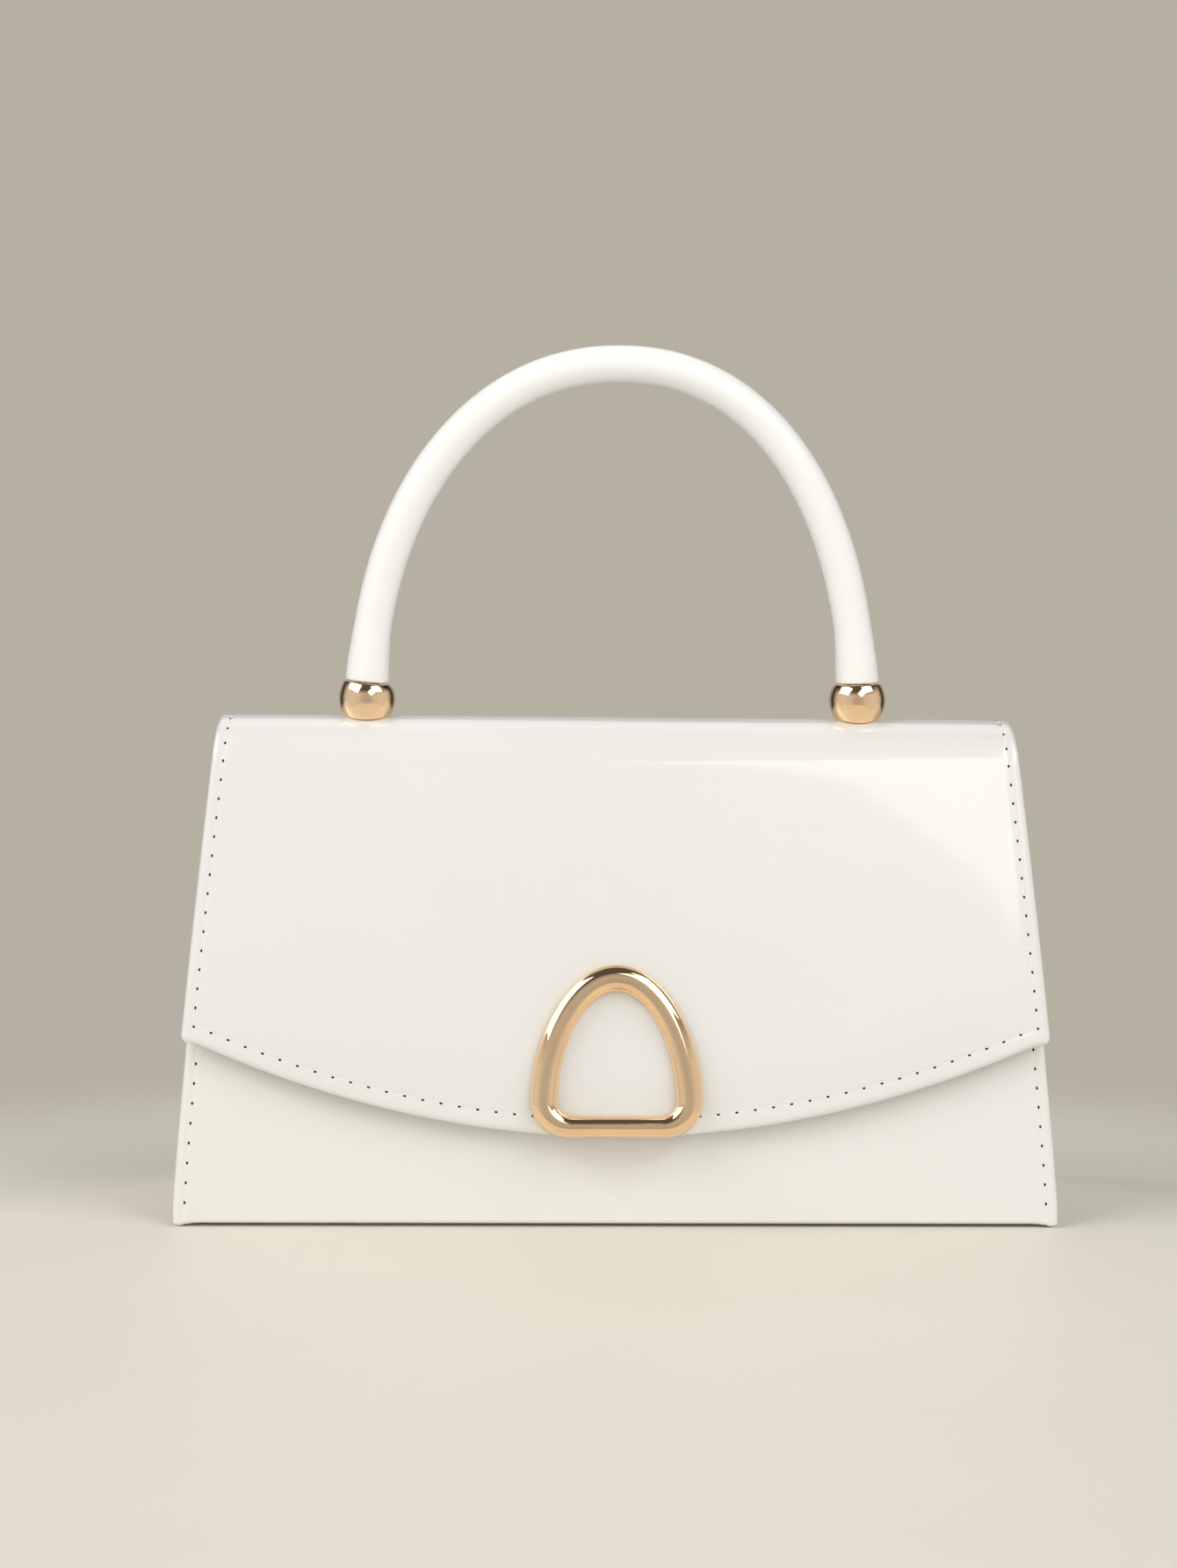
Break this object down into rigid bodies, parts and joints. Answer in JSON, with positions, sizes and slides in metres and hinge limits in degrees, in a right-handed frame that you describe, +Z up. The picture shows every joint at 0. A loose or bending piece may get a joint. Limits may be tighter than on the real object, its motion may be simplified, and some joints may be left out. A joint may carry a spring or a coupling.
{
  "type": "top handle clutch bag",
  "caption": "Structured flap clutch bag with a round arched top handle on metal balls, stitched edges and a metal loop ornament; holds small things and is carried by hand.",
  "frame": {"origin": "middle of the flat base, on the surface the bag stands on", "axes": "+X to the right of someone facing the flap, +Y towards the back of the bag, +Z up; the flap and ornament face -Y"},
  "size_m": [0.2102, 0.0725, 0.2086],
  "materials": {
    "shell_leather": "glossy ivory patent leather",
    "front_leather": "glossy ivory patent leather",
    "gusset_leather": "glossy ivory patent leather",
    "handle_leather": "glossy ivory patent leather",
    "ball_metal": "polished pale rose gold plating",
    "post_metal": "plain turned steel, hidden",
    "ornament_metal": "polished pale rose gold plating",
    "magnet_metal": "plain plated disc, hidden"
  },
  "bodies": {
    "root": {"back_and_flap": "shell_leather", "front_and_base": "front_leather", "gusset_left": "gusset_leather", "gusset_right": "gusset_leather", "handle": "handle_leather", "ball_left": "ball_metal", "ball_right": "ball_metal", "post_left": "post_metal", "post_right": "post_metal", "clasp_ornament": "ornament_metal", "clasp_magnet": "magnet_metal"}
  },
  "joints": []
}
